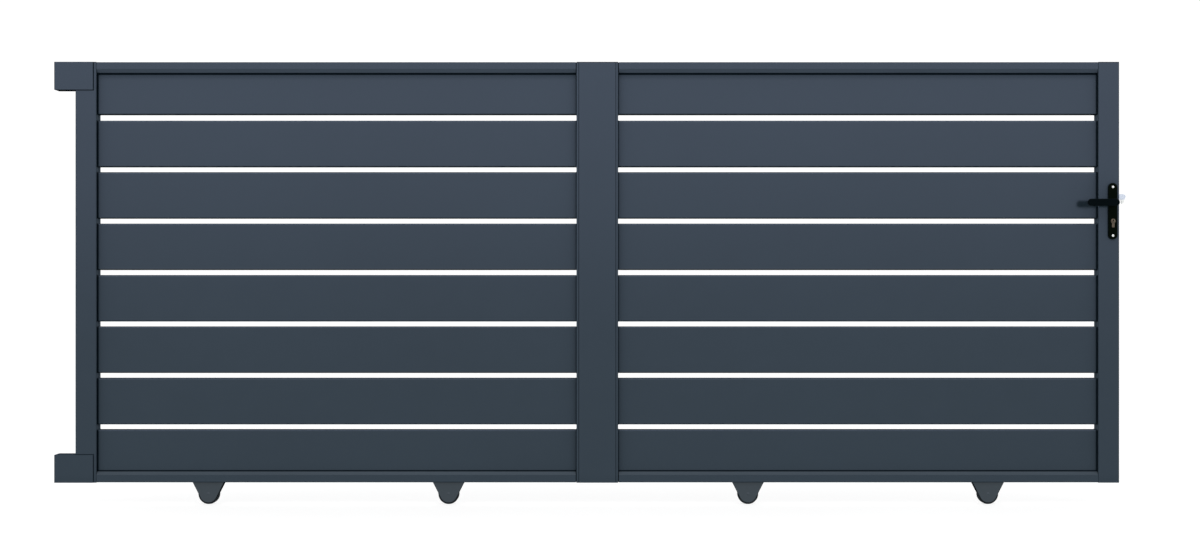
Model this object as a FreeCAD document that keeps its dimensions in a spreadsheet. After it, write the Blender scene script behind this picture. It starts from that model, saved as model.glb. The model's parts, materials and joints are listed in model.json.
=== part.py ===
import FreeCAD, Part
import math
import os

import Sketcher

# Sliding driveway gate leaf.
# Frame: X along the leaf (+X is the leading, lock end), -Y is the outer
# face, Z is up.  Origin: centre of the flat foot of the centre post.

doc = FreeCAD.newDocument("sliding_gate")

# ---------------------------------------------------------------- dimensions
DIMS = [
    # leaf
    ("leaf_long", 3753.6), ("leaf_high", 1513.5), ("frame_deep", 64.0),
    ("stile_wide", 74.8), ("post_wide", 150.0), ("corner_round", 2.2),
    ("topcap_thick", 2.0), ("post_line_inset", 8.4), ("post_line_wide", 1.7),
    ("post_line_deep", 1.2),
    # rails
    ("rail_recess", 1.0), ("rail_top", 1512.7), ("rail_low", 0.9),
    ("railcap_thick", 2.6), ("railcap_stile", 0.8), ("railcap_inset", 1.2),
    ("toprail_low", 1475.5),
    ("botrail_top", 39.2), ("rail_bevel", 13.0), ("lowbevel", 11.2),
    ("rail_backbevel", 5.0), ("groove_play", 2.4), ("rail_round", 2.2),
    ("rail_foot_round", 4.0),
    # slats
    ("slat_front", -14.0), ("slat_thick", 28.0), ("slat_high", 167.8),
    ("slat_pitch", 185.6), ("slat_top", 1489.3), ("slat_round", 5.0),
    ("slat_first_trim", 3.0),
    ("endcap_thick", 2.0), ("endcap_set", 6.0), ("seal_thick", 2.0),
    ("seal_show", 6.8), ("seal_show_low", 4.0),
    # end stops
    ("stop_reach", 76.0), ("stop_grip", 64.8), ("stop_wall", 3.0),
    ("stop_high", 100.0), ("stop_round", 3.0),
    # wheels and their carriers
    ("wheel_outer", 1404.8), ("wheel_inner", 539.4), ("wheel_shift", 3.6),
    ("wheel_rad", 37.4),
    ("wheel_wide", 22.0), ("wheel_drop", 41.6), ("groove_half", 7.0),
    ("groove_deep", 7.0), ("groove_flat", 1.6),
    ("hub_rad", 13.0), ("hub_wide", 31.5), ("axle_rad", 5.0),
    ("axle_play", 0.05), ("plate_thick", 3.0), ("plate_gap", 32.5),
    ("carrier_half", 57.0), ("carrier_nose", 31.5), ("web_thick", 3.0),
    ("web_window", 22.0),
    # lock and handles
    ("handle_at", 1852.5), ("spindle_high", 1006.0), ("hplate_wide", 32.0),
    ("hplate_low", 875.0), ("hplate_top", 1077.5), ("hplate_thick", 8.0),
    ("hplate_round", 1.4), ("screw_up", 1063.4), ("screw_down", 888.6),
    ("screw_rad", 5.0), ("screw_proud", 1.6), ("cyl_high", 941.0),
    ("cyl_rad", 8.2), ("cyl_tail", 22.8), ("cyl_tail_wide", 9.0),
    ("cyl_proud", 3.0), ("cyl_play", 0.2), ("lever_long", 105.1),
    ("lever_high", 25.5), ("lever_hub_in", 4.0), ("lever_thick", 12.0), ("lever_out", 62.0),
    ("lever_edge", 2.2), ("neck_rad", 8.6), ("neck_gap", 0.6),
    ("spindle_side", 8.0), ("spindle_hole", 7.0), ("spindle_bore", 11.0),
    ("face_wide", 24.0), ("face_thick", 3.0), ("face_low", 880.0),
    ("face_top", 1090.0),
    # hook bolt
    ("hook_x", 1834.0), ("hook_z", 1028.5), ("hook_thick", 8.0),
    ("hook_pin", 4.0), ("hook_play", 0.05), ("case_low", 985.0),
    ("case_top", 1079.0), ("case_rear", 1812.0), ("case_deep", 36.0),
    ("slot_low", 1011.0), ("slot_top", 1068.0), ("slot_wide", 18.0),
]

sheet = doc.addObject("Spreadsheet::Sheet", "dims")
V = {}
for row, (alias, value) in enumerate(DIMS, start=1):
    sheet.set("A%d" % row, alias)
    sheet.set("B%d" % row, repr(value))
    sheet.setAlias("B%d" % row, alias)
    V[alias] = value
doc.recompute()


def ex(text):
    """Expression over the sheet: bare dimension names become sheet cells."""
    out, word = "", ""
    for ch in text + " ":
        if ch.isalnum() or ch == "_":
            word += ch
        else:
            out += ("dims." + word) if word in V else word
            word = ""
            out += ch
    return out.strip()


def num(text):
    """The same expression as a plain number, worked out term by term."""
    tokens, word = [], ""
    for ch in text.replace(" ", "") + "\n":
        if ch.isalnum() or ch in "_.":
            word += ch
        else:
            if word:
                tokens.append(V[word] if word in V else float(word))
                word = ""
            if ch != "\n":
                tokens.append(ch)

    def factor(i):
        if tokens[i] == "-":
            value, i = factor(i + 1)
            return -value, i
        if tokens[i] == "(":
            value, i = total(i + 1)
            return value, i + 1
        return tokens[i], i + 1

    def term(i):
        value, i = factor(i)
        while i < len(tokens) and tokens[i] in ("*", "/"):
            op = tokens[i]
            other, i = factor(i + 1)
            value = value * other if op == "*" else value / other
        return value, i

    def total(i):
        value, i = term(i)
        while i < len(tokens) and tokens[i] in ("+", "-"):
            op = tokens[i]
            other, i = term(i + 1)
            value = value + other if op == "+" else value - other
        return value, i

    return total(0)[0]


# ------------------------------------------------------------------- helpers
PARTS = []


def keep(obj, label):
    obj.Label = label
    PARTS.append((label, obj))
    return obj


def place(obj, x="0", y="0", z="0"):
    for axis, text in (("x", x), ("y", y), ("z", z)):
        obj.setExpression("Placement.Base." + axis, ex("(" + text + ") * 1 mm"))


def size(obj, **props):
    for prop, text in props.items():
        obj.setExpression(prop, ex("(" + text + ") * 1 mm"))


def box(name, x0, x1, y0, y1, z0, z1):
    b = doc.addObject("Part::Box", name)
    size(b, Length="(%s)-(%s)" % (x1, x0), Width="(%s)-(%s)" % (y1, y0),
         Height="(%s)-(%s)" % (z1, z0))
    place(b, x0, y0, z0)
    return b


def rod_y(name, x, z, radius, y0, y1):
    c = doc.addObject("Part::Cylinder", name)
    size(c, Radius=radius, Height="(%s)-(%s)" % (y1, y0))
    c.Placement.Rotation = FreeCAD.Rotation(FreeCAD.Vector(1, 0, 0), -90)
    place(c, x, y0, z)
    return c


def fuse(name, shapes):
    f = doc.addObject("Part::MultiFuse", name)
    f.Shapes = shapes
    return f


def cut(name, base, tools):
    c = doc.addObject("Part::Cut", name)
    c.Base = base
    c.Tool = tools[0] if len(tools) == 1 else fuse(name + "_tools", tools)
    return c


def round_edges(name, base, test, radius):
    """Round the edges of base whose two end points pass the test."""
    doc.recompute()
    chosen = []
    for i, e in enumerate(base.Shape.Edges, start=1):
        if len(e.Vertexes) == 2 and test(e.Vertexes[0].Point, e.Vertexes[1].Point):
            chosen.append((i, radius, radius))
    f = doc.addObject("Part::Fillet", name)
    f.Base = base
    f.Edges = chosen
    return f


def vertical(p, q):
    return abs(p.x - q.x) < 1e-4 and abs(p.y - q.y) < 1e-4


def plane(body, role):
    for o in body.Origin.OriginFeatures:
        if o.Role == role:
            return o
    raise RuntimeError("no plane " + role)


def pin(sketch, geo, pos, u, v):
    """Fix a sketch point at (u, v), each bound to its expression."""
    for kind, text in (("DistanceX", u), ("DistanceY", v)):
        value = num(text)
        if abs(value) < 1e-9:
            axis = -2 if kind == "DistanceX" else -1
            sketch.addConstraint(Sketcher.Constraint("PointOnObject", geo, pos, axis))
        elif value > 0:
            n = sketch.addConstraint(Sketcher.Constraint(kind, -1, 1, geo, pos, value))
            sketch.setExpression("Constraints[%d]" % n, ex("(" + text + ") * 1 mm"))
        else:
            n = sketch.addConstraint(Sketcher.Constraint(kind, geo, pos, -1, 1, -value))
            sketch.setExpression("Constraints[%d]" % n, ex("(-(" + text + ")) * 1 mm"))


def outline(sketch, points):
    """Closed polygon through points given as pairs of expressions."""
    vec = [FreeCAD.Vector(num(u), num(v), 0) for u, v in points]
    ids = []
    for i in range(len(vec)):
        ids.append(sketch.addGeometry(
            Part.LineSegment(vec[i], vec[(i + 1) % len(vec)]), False))
    for i in range(len(ids)):
        sketch.addConstraint(Sketcher.Constraint(
            "Coincident", ids[i], 2, ids[(i + 1) % len(ids)], 1))
    for i, (u, v) in enumerate(points):
        pin(sketch, ids[i], 1, u, v)
    return ids


def new_body(label, role="YZ_Plane"):
    body = doc.addObject("PartDesign::Body", label)
    sketch = body.newObject("Sketcher::SketchObject", label + "_sketch")
    sketch.AttachmentSupport = (plane(body, role), [""])
    sketch.MapMode = "FlatFace"
    return body, sketch


def pad(body, sketch, length, middle=False, back=False):
    p = body.newObject("PartDesign::Pad", sketch.Name + "_pad")
    p.Profile = sketch
    p.setExpression("Length", ex("(" + length + ") * 1 mm"))
    if middle:
        p.Midplane = True
    if back:
        p.Reversed = True
    sketch.Visibility = False
    return p


def soften(body, feature, test, radius):
    """PartDesign fillet on the edges whose end points pass the test."""
    doc.recompute()
    names = []
    for i, e in enumerate(feature.Shape.Edges, start=1):
        if len(e.Vertexes) == 2 and test(e.Vertexes[0].Point, e.Vertexes[1].Point):
            names.append("Edge%d" % i)
    f = body.newObject("PartDesign::Fillet", body.Name + "_round")
    f.Base = (feature, names)
    f.setExpression("Radius", ex("(" + radius + ") * 1 mm"))
    body.Tip = f
    return f


def along_x(p, q):
    return abs(p.y - q.y) < 1e-4 and abs(p.z - q.z) < 1e-4


def prism_x(label, points, x0, x1, rounded=None, radius=None):
    """Profile in the YZ plane pushed along X from x0 to x1."""
    body, sketch = new_body(label, "YZ_Plane")
    outline(sketch, points)
    p = pad(body, sketch, "(%s)-(%s)" % (x1, x0))
    if rounded:
        soften(body, p, lambda a, b: along_x(a, b) and rounded(a), radius)
    place(body, x0)
    return keep(body, label)


HALF_LEAF = "leaf_long/2"
STILE_IN = "(leaf_long/2-stile_wide)"
POST_SIDE = "post_wide/2"
FRONT = "(-frame_deep/2)"
BACK = "(frame_deep/2)"
UP_TOP = "(leaf_high-topcap_thick)"

# ------------------------------------------------------------------ uprights
rear = round_edges("rear_stile_r", box("rear_stile_box", "-" + HALF_LEAF,
                   "-" + STILE_IN, FRONT, BACK, "0", UP_TOP),
                   vertical, V["corner_round"])
keep(rear, "rear_stile")

# centre post: wide box with a fine line along both edges of each face
post_box = round_edges("post_r", box("post_box", "-" + POST_SIDE, POST_SIDE,
                       FRONT, BACK, "0", UP_TOP), vertical, V["corner_round"])
lines = []
for side, sx in (("l", "-1"), ("r", "1")):
    mid = "%s*(post_wide/2-post_line_inset)" % sx
    for face, y0, y1 in (("f", FRONT + "-1", FRONT + "+post_line_deep"),
                         ("b", BACK + "-post_line_deep", BACK + "+1")):
        lines.append(box("post_line_" + side + face, mid + "-post_line_wide/2",
                         mid + "+post_line_wide/2", y0, y1, "-1", UP_TOP + "+1"))
keep(cut("center_post_cut", post_box, lines), "center_post")

# front (lock) upright with the lock's case, slot, spindle and cylinder ways
front_box = round_edges("front_stile_r", box("front_stile_box", STILE_IN,
                        HALF_LEAF, FRONT, BACK, "0", UP_TOP),
                        vertical, V["corner_round"])
ways = [
    box("case_way", "case_rear", HALF_LEAF + "-face_thick-1", "-case_deep/2",
        "case_deep/2", "case_low", "case_top"),
    box("slot_way", HALF_LEAF + "-face_thick-2", HALF_LEAF + "+1",
        "-slot_wide/2", "slot_wide/2", "slot_low", "slot_top"),
    box("face_way", HALF_LEAF + "-face_thick", HALF_LEAF + "+1", "-face_wide/2",
        "face_wide/2", "face_low", "face_top"),
    rod_y("spindle_way", "handle_at", "spindle_high", "spindle_bore",
          FRONT + "-1", BACK + "+1"),
    rod_y("cyl_way", "handle_at", "cyl_high", "cyl_rad+cyl_play",
          FRONT + "-1", BACK + "+1"),
    box("cyl_tail_way", "handle_at-cyl_tail_wide/2-cyl_play",
        "handle_at+cyl_tail_wide/2+cyl_play", FRONT + "-1", BACK + "+1",
        "cyl_high-cyl_tail-cyl_play", "cyl_high"),
]
keep(cut("front_stile_cut", front_box, ways), "front_stile")

# thin flat caps that close the tops of the three uprights
caps = []
for tag, x0, x1 in (("rear", "-" + HALF_LEAF, "-" + STILE_IN),
                    ("mid", "-" + POST_SIDE, POST_SIDE),
                    ("front", STILE_IN, HALF_LEAF)):
    caps.append(round_edges("topcap_%s_r" % tag, box(
        "topcap_" + tag, x0 + "+0.4", x1 + "-0.4", FRONT + "+0.4", BACK + "-0.4",
        UP_TOP, "leaf_high"), vertical, V["corner_round"]))
group = doc.addObject("Part::Compound", "upright_caps")
group.Links = caps
keep(group, "upright_caps")

# --------------------------------------------------------------------- rails
RF = "(-frame_deep/2+rail_recess)"
RB = "(frame_deep/2-rail_recess)"
G0 = "(slat_front-groove_play)"
G1 = "(slat_front+slat_thick+groove_play)"
TOP_PROFILE = [
    (RF, "rail_top"), (RF, "toprail_low+rail_bevel"),
    (RF + "+rail_bevel", "toprail_low"), (G0, "toprail_low"),
    (G0, "slat_top+groove_play"), (G1, "slat_top+groove_play"),
    (G1, "toprail_low"), (RB + "-rail_backbevel", "toprail_low"),
    (RB, "toprail_low+rail_backbevel"), (RB, "rail_top")]
SLAT_FOOT = "(slat_top-7*slat_pitch-slat_high)"
BOTTOM_PROFILE = [
    (RF, "rail_low"), (RB, "rail_low"), (RB, "botrail_top-rail_backbevel"),
    (RB + "-rail_backbevel", "botrail_top"), (G1, "botrail_top"),
    (G1, SLAT_FOOT + "-groove_play"), (G0, SLAT_FOOT + "-groove_play"),
    (G0, "botrail_top"), (RF + "+lowbevel", "botrail_top"),
    (RF, "botrail_top-lowbevel")]


def rail_corner(p):
    outer = abs(abs(p.y) - num(RB)) < 1e-3
    return outer and (abs(p.z - V["rail_top"]) < 1e-3
                      or abs(p.z - V["rail_low"]) < 1e-3)


for side, x0, x1 in (
        ("left", "-" + STILE_IN + "+railcap_stile", "-" + POST_SIDE + "-railcap_thick"),
        ("right", POST_SIDE + "+railcap_thick", STILE_IN + "-railcap_stile")):
    prism_x("top_rail_" + side, TOP_PROFILE, x0, x1, rail_corner, "rail_round")
    prism_x("bottom_rail_" + side, BOTTOM_PROFILE, x0, x1, rail_corner,
            "rail_foot_round")

# --------------------------------------------------------------------- slats
SF = "slat_front"
SB = "(slat_front+slat_thick)"
for side, x0, x1 in (
        ("left", "-" + STILE_IN + "+endcap_thick", "-" + POST_SIDE + "-endcap_thick"),
        ("right", POST_SIDE + "+endcap_thick", STILE_IN + "-endcap_thick")):
    for k in range(8):
        z1 = "(slat_top-%d*slat_pitch)" % k
        z0 = "(%s-slat_high)" % z1 if k else "(slat_top-slat_high+slat_first_trim)"
        prism_x("slat_%s_%d" % (side, k + 1),
                [(SF, z0), (SB, z0), (SB, z1), (SF, z1)], x0, x1,
                lambda p: True, "slat_round")

# dark end plates beside the slats, almost as deep as the uprights, and caps on
# the rail ends; the plates of the first and last slats run on as narrow tongues
# in the grooves of the rails
caps = []
for tag, x0 in (("a", "-" + STILE_IN), ("b", "-" + POST_SIDE + "-endcap_thick"),
                ("c", POST_SIDE), ("d", STILE_IN + "-endcap_thick")):
    for k in range(8):
        z1 = "(slat_top-%d*slat_pitch)" % k
        low = z1 + "-slat_high+0.5" if k < 7 else "botrail_top+0.5"
        if k == 0:
            low = low + "+slat_first_trim"
        high = z1 + "-0.5" if k > 0 else "toprail_low-0.5"
        name = "slatcap_%s%d" % (tag, k + 1)
        end_plate = box(name, x0, x0 + "+endcap_thick", FRONT + "+endcap_set",
                        BACK + "-endcap_set", low, high)
        if k in (0, 7):
            t0, t1 = ("toprail_low-2", "slat_top+groove_play-0.3") if k == 0 else \
                (SLAT_FOOT + "-groove_play+0.3", "botrail_top+2")
            end_plate = fuse(name + "_tongued", [end_plate, box(
                name + "_tongue", x0, x0 + "+endcap_thick", G0 + "+0.2", G1 + "-0.2",
                t0, t1)])
        caps.append(end_plate)
for tag, x0, thick in (("a", "-" + STILE_IN, "railcap_stile"),
                       ("b", "-" + POST_SIDE + "-railcap_thick", "railcap_thick"),
                       ("c", POST_SIDE, "railcap_thick"),
                       ("d", STILE_IN + "-railcap_stile", "railcap_stile")):
    caps.append(box("railcap_top_" + tag, x0, x0 + "+" + thick,
                    RF + "+railcap_inset", RB + "-railcap_inset",
                    "slat_top+groove_play", "rail_top-railcap_inset"))
    caps.append(box("railcap_low_" + tag, x0, x0 + "+" + thick,
                    RF + "+rail_foot_round", RB + "-rail_foot_round",
                    "rail_low+railcap_inset", SLAT_FOOT + "-groove_play"))
group = doc.addObject("Part::Compound", "end_caps")
group.Links = caps
keep(group, "end_caps")

# dark seal strips where the first and last slats enter the rails
strips = []
for side, x0, x1 in (("left", "-" + STILE_IN + "+endcap_thick",
                      "-" + POST_SIDE + "-endcap_thick"),
                     ("right", POST_SIDE + "+endcap_thick",
                      STILE_IN + "-endcap_thick")):
    for face, y0, y1 in (("f", SF + "-seal_thick", SF),
                         ("b", SB, SB + "+seal_thick")):
        strips.append(box("seal_top_%s_%s" % (side, face), x0, x1, y0, y1,
                          "toprail_low-seal_show", "slat_top-3"))
        strips.append(box("seal_low_%s_%s" % (side, face), x0, x1, y0, y1,
                          SLAT_FOOT + "+3", "botrail_top+seal_show_low"))
group = doc.addObject("Part::Compound", "rail_seals")
group.Links = strips
keep(group, "rail_seals")

# ----------------------------------------------------------------- end stops
for tag, z0, z1 in (("upper", "leaf_high-stop_high", "leaf_high"),
                    ("lower", "0", "stop_high")):
    block = round_edges("stop_%s_r" % tag, box(
        "stop_" + tag, "-" + HALF_LEAF + "-stop_reach",
        "-" + HALF_LEAF + "+stop_grip", FRONT + "-stop_wall",
        BACK + "+stop_wall", z0, z1), vertical, V["stop_round"])
    keep(cut("stop_%s_cut" % tag, block, [box(
        "stop_way_" + tag, "-" + HALF_LEAF, "-" + HALF_LEAF + "+stop_grip+5",
        FRONT, BACK, "(%s)-1" % z0, "(%s)+1" % z1)]), tag + "_stop")

# ------------------------------------------------------ wheels and carriers
WHEELS = [("1", "(wheel_shift-wheel_outer)"), ("2", "(wheel_shift-wheel_inner)"),
          ("3", "(wheel_shift+wheel_inner)"), ("4", "(wheel_shift+wheel_outer)")]
half_y = "(plate_gap/2+plate_thick)"

# tangent points of the carrier's sloping sides on its round nose
ch, cn, wd = V["carrier_half"], V["carrier_nose"], V["wheel_drop"]
rl = V["rail_low"]
reach = math.hypot(ch, wd + rl)


def carrier_profile(sketch):
    """V plate: two top corners, sloping sides, nose round the axle."""
    # angle from the axle at which the slope meets the nose
    a = math.atan2(wd + rl, ch) - math.acos(cn / reach)
    tx, tz = cn * math.cos(a), -wd + cn * math.sin(a)
    top = sketch.addGeometry(Part.LineSegment(
        FreeCAD.Vector(-ch, rl, 0), FreeCAD.Vector(ch, rl, 0)), False)
    right = sketch.addGeometry(Part.LineSegment(
        FreeCAD.Vector(ch, rl, 0), FreeCAD.Vector(tx, tz, 0)), False)
    nose = sketch.addGeometry(Part.ArcOfCircle(Part.Circle(
        FreeCAD.Vector(0, -wd, 0), FreeCAD.Vector(0, 0, 1), cn),
        math.pi - a, 2 * math.pi + a), False)
    left = sketch.addGeometry(Part.LineSegment(
        FreeCAD.Vector(-tx, tz, 0), FreeCAD.Vector(-ch, rl, 0)), False)
    con = sketch.addConstraint
    con(Sketcher.Constraint("Coincident", top, 2, right, 1))
    con(Sketcher.Constraint("Coincident", left, 2, top, 1))
    con(Sketcher.Constraint("Tangent", right, 2, nose, 2))
    con(Sketcher.Constraint("Tangent", nose, 1, left, 1))
    pin(sketch, top, 1, "-carrier_half", "rail_low")
    pin(sketch, top, 2, "carrier_half", "rail_low")
    pin(sketch, nose, 3, "0", "-wheel_drop")
    n = con(Sketcher.Constraint("Radius", nose, cn))
    sketch.setExpression("Constraints[%d]" % n, "dims.carrier_nose")


axles = []
for tag, x in WHEELS:
    vbody, sketch = new_body("carrier_block_" + tag, "XZ_Plane")
    carrier_profile(sketch)
    pad(vbody, sketch, "2*" + half_y, middle=True)
    place(vbody, x)
    way = box("carrier_way_" + tag, x + "-100", x + "+100", "-plate_gap/2",
              "plate_gap/2", "-200", "rail_low-web_thick")
    window = box("carrier_window_" + tag, x + "-web_window", x + "+web_window",
                 "-plate_gap/2", "plate_gap/2", "-web_thick-1", "rail_low+1")
    bore = rod_y("carrier_bore_" + tag, x, "-wheel_drop", "axle_rad+axle_play",
                 "-" + half_y + "-1", half_y + "+1")
    keep(cut("carrier_" + tag, vbody, [way, window, bore]), "wheel_bracket_" + tag)
    axles.append(rod_y("axle_" + tag, x, "-wheel_drop", "axle_rad",
                       "-" + half_y, half_y))
    # grooved wheel, turned about its axle (drawn with the axle along sketch Y)
    wbody, sketch = new_body("wheel_turned_" + tag, "XY_Plane")
    r0, r1, r2 = "(axle_rad+axle_play)", "hub_rad", "wheel_rad"
    hub, rim, flat = "(hub_wide/2)", "(wheel_wide/2)", "(groove_flat/2)"
    deep = "(wheel_rad-groove_deep)"
    outline(sketch, [
        (r0, "-" + hub), (r1, "-" + hub), (r1, "-" + rim), (r2, "-" + rim),
        (r2, "-groove_half"), (deep, "-" + flat), (deep, flat),
        (r2, "groove_half"), (r2, rim), (r1, rim), (r1, hub), (r0, hub)])
    rev = wbody.newObject("PartDesign::Revolution", "wheel_rev_" + tag)
    rev.Profile = sketch
    rev.ReferenceAxis = (sketch, ["V_Axis"])
    rev.Angle = 360.0
    place(wbody, x, "0", "-wheel_drop")
    keep(wbody, "wheel_" + tag)
group = doc.addObject("Part::Compound", "wheel_axles")
group.Links = axles
keep(group, "wheel_axles")

# --------------------------------------------------------- lock and handles
PF = "(-frame_deep/2-hplate_thick)"
PB = "(frame_deep/2+hplate_thick)"


def stadium(sketch, wide, low, top):
    """Upright outline with round ends, centred on the sketch's V axis."""
    w, z0, z1 = num(wide) / 2, num(low), num(top)
    vx = FreeCAD.Vector
    up = sketch.addGeometry(Part.ArcOfCircle(Part.Circle(
        vx(0, z1 - w, 0), vx(0, 0, 1), w), 0, math.pi), False)
    left = sketch.addGeometry(Part.LineSegment(vx(-w, z1 - w, 0), vx(-w, z0 + w, 0)), False)
    down = sketch.addGeometry(Part.ArcOfCircle(Part.Circle(
        vx(0, z0 + w, 0), vx(0, 0, 1), w), math.pi, 2 * math.pi), False)
    right = sketch.addGeometry(Part.LineSegment(vx(w, z0 + w, 0), vx(w, z1 - w, 0)), False)
    con = sketch.addConstraint
    for a, pa, b, pb in ((up, 2, left, 1), (left, 2, down, 1),
                         (down, 2, right, 1), (right, 2, up, 1)):
        con(Sketcher.Constraint("Tangent", a, pa, b, pb))
    pin(sketch, up, 3, "0", "(%s)-(%s)/2" % (top, wide))
    pin(sketch, down, 3, "0", "(%s)+(%s)/2" % (low, wide))
    n = con(Sketcher.Constraint("Radius", up, w))
    sketch.setExpression("Constraints[%d]" % n, ex("(%s)/2 * 1 mm" % wide))


for face, y0, y1, ys, out in (("front", PF, FRONT, FRONT, -1),
                              ("back", BACK, PB, BACK, 1)):
    pbody, sketch = new_body("hplate_" + face, "XZ_Plane")
    stadium(sketch, "hplate_wide", "hplate_low", "hplate_top")
    p = pad(pbody, sketch, "hplate_thick", back=(out > 0))
    place(pbody, "handle_at", ys, "0")
    doc.recompute()
    names = []
    for i, e in enumerate(p.Shape.Edges, start=1):
        if all(abs(v.Point.y - out * V["hplate_thick"]) < 1e-3 for v in e.Vertexes):
            names.append("Edge%d" % i)
    f = pbody.newObject("PartDesign::Fillet", "hplate_round_" + face)
    f.Base = (p, names)
    f.setExpression("Radius", "dims.hplate_round")
    pbody.Tip = f
    tools = [
        rod_y("hp_spin_" + face, "handle_at", "spindle_high", "spindle_hole",
              y0 + "-1", y1 + "+1"),
        rod_y("hp_cyl_" + face, "handle_at", "cyl_high", "cyl_rad+cyl_play",
              y0 + "-1", y1 + "+1"),
        box("hp_tail_" + face, "handle_at-cyl_tail_wide/2-cyl_play",
            "handle_at+cyl_tail_wide/2+cyl_play", y0 + "-1", y1 + "+1",
            "cyl_high-cyl_tail-cyl_play", "cyl_high")]
    keep(cut("hplate_cut_" + face, pbody, tools), face + "_handle_plate")

heads = []
for face, y0, y1 in (("f", PF + "-screw_proud", PF), ("b", PB, PB + "+screw_proud")):
    for tag, z in (("up", "screw_up"), ("down", "screw_down")):
        heads.append(rod_y("head_%s_%s" % (face, tag), "handle_at", z,
                           "screw_rad", y0, y1))
group = doc.addObject("Part::Compound", "handle_screws")
group.Links = heads
keep(group, "handle_screws")

# profile lock cylinder, right through the upright and both plates
keep(fuse("lock_cylinder_f", [
    rod_y("cyl_round", "handle_at", "cyl_high", "cyl_rad",
          PF + "-cyl_proud", PB + "+cyl_proud"),
    box("cyl_web", "handle_at-cyl_tail_wide/2", "handle_at+cyl_tail_wide/2",
        PF + "-cyl_proud", PB + "+cyl_proud", "cyl_high-cyl_tail", "cyl_high")]),
    "lock_cylinder")

# lock face plate, let into the leading face, with the hook's slot
keep(cut("lock_face_cut", box(
    "lock_face_box", HALF_LEAF + "-face_thick", HALF_LEAF, "-face_wide/2",
    "face_wide/2", "face_low", "face_top"), [box(
        "lock_face_way", HALF_LEAF + "-face_thick-1", HALF_LEAF + "+1",
        "-slot_wide/2", "slot_wide/2", "slot_low", "slot_top")]), "lock_faceplate")

# levers: round neck, then a bar that points to the rear
for face, sgn in (("front", -1), ("back", 1)):
    lbody, sketch = new_body("lever_bar_" + face, "XZ_Plane")
    w = V["lever_high"] / 2
    ln = V["lever_long"]
    hin = V["lever_hub_in"]
    vx = FreeCAD.Vector
    hubarc = sketch.addGeometry(Part.ArcOfCircle(Part.Circle(
        vx(-hin, 0, 0), vx(0, 0, 1), w), -math.pi / 2, math.pi / 2), False)
    over = sketch.addGeometry(Part.LineSegment(vx(-hin, w, 0), vx(-ln + w, w, 0)), False)
    tip = sketch.addGeometry(Part.ArcOfCircle(Part.Circle(
        vx(-ln + w, 0, 0), vx(0, 0, 1), w), math.pi / 2, 3 * math.pi / 2), False)
    under = sketch.addGeometry(Part.LineSegment(vx(-ln + w, -w, 0), vx(-hin, -w, 0)), False)
    con = sketch.addConstraint
    for a, pa, b, pb in ((hubarc, 2, over, 1), (over, 2, tip, 1),
                         (tip, 2, under, 1), (under, 2, hubarc, 1)):
        con(Sketcher.Constraint("Tangent", a, pa, b, pb))
    pin(sketch, hubarc, 3, "-lever_hub_in", "0")
    pin(sketch, tip, 3, "-lever_long+lever_high/2", "0")
    n = con(Sketcher.Constraint("Radius", hubarc, w))
    sketch.setExpression("Constraints[%d]" % n, ex("lever_high/2 * 1 mm"))
    p = pad(lbody, sketch, "lever_thick", back=(sgn > 0))
    base_y = ("(%s-lever_out+lever_thick)" % PF) if sgn < 0 else \
        ("(%s+lever_out-lever_thick)" % PB)
    place(lbody, "handle_at", base_y, "spindle_high")
    doc.recompute()
    names = []
    for i, e in enumerate(p.Shape.Edges, start=1):
        ys = [v.Point.y for v in e.Vertexes]
        if max(ys) - min(ys) < 1e-3:
            names.append("Edge%d" % i)
    f = lbody.newObject("PartDesign::Fillet", "lever_round_" + face)
    f.Base = (p, names)
    f.setExpression("Radius", "dims.lever_edge")
    lbody.Tip = f
    if sgn < 0:
        neck = rod_y("neck_" + face, "handle_at", "spindle_high", "neck_rad",
                     base_y + "-lever_thick/2", PF + "-neck_gap")
        socket = box("socket_" + face, "handle_at-spindle_side/2",
                     "handle_at+spindle_side/2", PF + "-20", PF + "+20",
                     "spindle_high-spindle_side/2", "spindle_high+spindle_side/2")
    else:
        neck = rod_y("neck_" + face, "handle_at", "spindle_high", "neck_rad",
                     PB + "+neck_gap", base_y + "+lever_thick/2")
        socket = box("socket_" + face, "handle_at-spindle_side/2",
                     "handle_at+spindle_side/2", PB + "-20", PB + "+20",
                     "spindle_high-spindle_side/2", "spindle_high+spindle_side/2")
    keep(cut("lever_cut_" + face, fuse("lever_fused_" + face, [lbody, neck]),
             [socket]), face + "_lever")

keep(box("spindle_bar", "handle_at-spindle_side/2", "handle_at+spindle_side/2",
         PF + "-20", PB + "+20", "spindle_high-spindle_side/2",
         "spindle_high+spindle_side/2"), "lever_spindle")

# ----------------------------------------------------------------- hook bolt
# side view of the hook about its pin: round eye, straight arm, beak down
hbody, sketch = new_body("hook_body", "XZ_Plane")
outline(sketch, [
    ("-9", "-5"), ("-5", "-9"), ("6", "-10.5"), ("56", "-10.5"), ("58", "-12.5"),
    ("58", "-20"), ("61", "-24"), ("67", "-20"), ("69", "-9"), ("74", "1.5"),
    ("69.5", "9"), ("62", "10.5"), ("6", "10.5"), ("-5", "9"), ("-9", "5")])
p = pad(hbody, sketch, "hook_thick", middle=True)
place(hbody, "hook_x", "0", "hook_z")
keep(cut("hook_cut", hbody, [rod_y("hook_eye", "hook_x", "hook_z",
     "hook_pin+hook_play", "-hook_thick", "hook_thick")]), "hook_bolt")
keep(rod_y("hook_pin_rod", "hook_x", "hook_z", "hook_pin", "-case_deep/2",
           "case_deep/2"), "hook_pin")

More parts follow.
